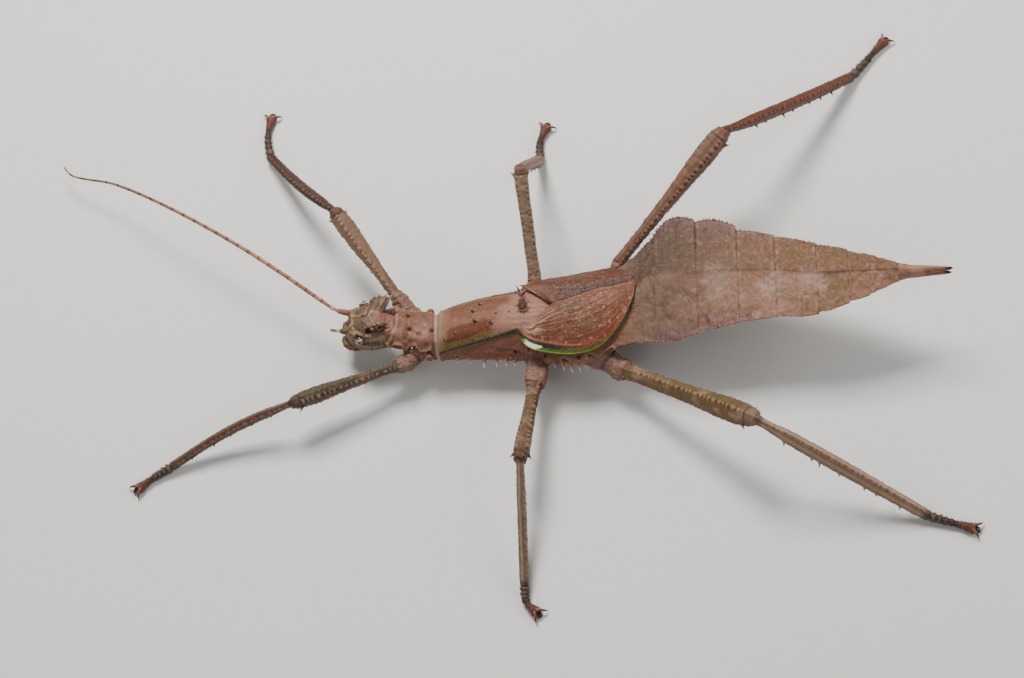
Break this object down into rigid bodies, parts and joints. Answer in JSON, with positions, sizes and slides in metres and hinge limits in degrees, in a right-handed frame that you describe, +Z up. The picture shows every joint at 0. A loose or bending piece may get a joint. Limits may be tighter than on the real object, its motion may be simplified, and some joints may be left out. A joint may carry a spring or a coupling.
{
  "type": "stick insect model",
  "caption": "Life-size still model of a female spiny stick insect, standing flat on a floor with its legs spread, small forewings folded and tail raised.",
  "frame": {"origin": "on the floor, at the middle of the stance's bounding box", "axes": "+X along the body towards the tail, with the head towards -X; +Y towards the animal's right side; +Z up from the floor"},
  "size_m": [0.1525, 0.1042, 0.0195],
  "materials": {
    "head_shell": "dull olive-brown rough horny shell with spiny crests",
    "eye": "smooth pale orange-brown eye with dark streaks, satin gloss",
    "antenna": "brown with darker joints, satin",
    "thorax_shell": "pinkish brown to orange-brown shell, satin, with green-black edge lines",
    "abdomen_shell": "dusty pink-brown wrinkled shell, matt",
    "ovipositor": "brown horny beak with dark tips, satin",
    "forewing": "leathery red-brown wing with a green outer edge, satin",
    "leg_shell": "brown horny shell with darker spots, satin"
  },
  "bodies": {
    "root": {"head": "head_shell", "eye_left": "eye", "eye_right": "eye", "antenna_left_stub": "antenna", "antenna_right_scape": "antenna", "antenna_right_1": "antenna", "antenna_right_2": "antenna", "antenna_right_3": "antenna", "pronotum": "thorax_shell", "mesothorax": "thorax_shell", "metathorax": "thorax_shell", "abdomen_2": "abdomen_shell", "abdomen_3": "abdomen_shell", "abdomen_4": "abdomen_shell", "abdomen_5": "abdomen_shell", "abdomen_6": "abdomen_shell", "abdomen_7": "abdomen_shell", "abdomen_8": "abdomen_shell", "abdomen_9": "abdomen_shell", "ovipositor": "ovipositor", "tegmen_left": "forewing", "tegmen_right": "forewing", "left_fore_coxa": "leg_shell", "left_fore_femur": "leg_shell", "left_fore_tibia": "leg_shell", "left_fore_tarsus": "leg_shell", "left_mid_coxa": "leg_shell", "left_mid_femur": "leg_shell", "left_mid_tibia": "leg_shell", "left_mid_tarsus": "leg_shell", "left_hind_coxa": "leg_shell", "left_hind_femur": "leg_shell", "left_hind_tibia": "leg_shell", "left_hind_tarsus": "leg_shell", "right_fore_coxa": "leg_shell", "right_fore_femur": "leg_shell", "right_fore_tibia": "leg_shell", "right_fore_tarsus": "leg_shell", "right_mid_coxa": "leg_shell", "right_mid_femur": "leg_shell", "right_mid_tibia": "leg_shell", "right_mid_tarsus": "leg_shell", "right_hind_coxa": "leg_shell", "right_hind_femur": "leg_shell", "right_hind_tibia": "leg_shell", "right_hind_tarsus": "leg_shell"}
  },
  "joints": []
}
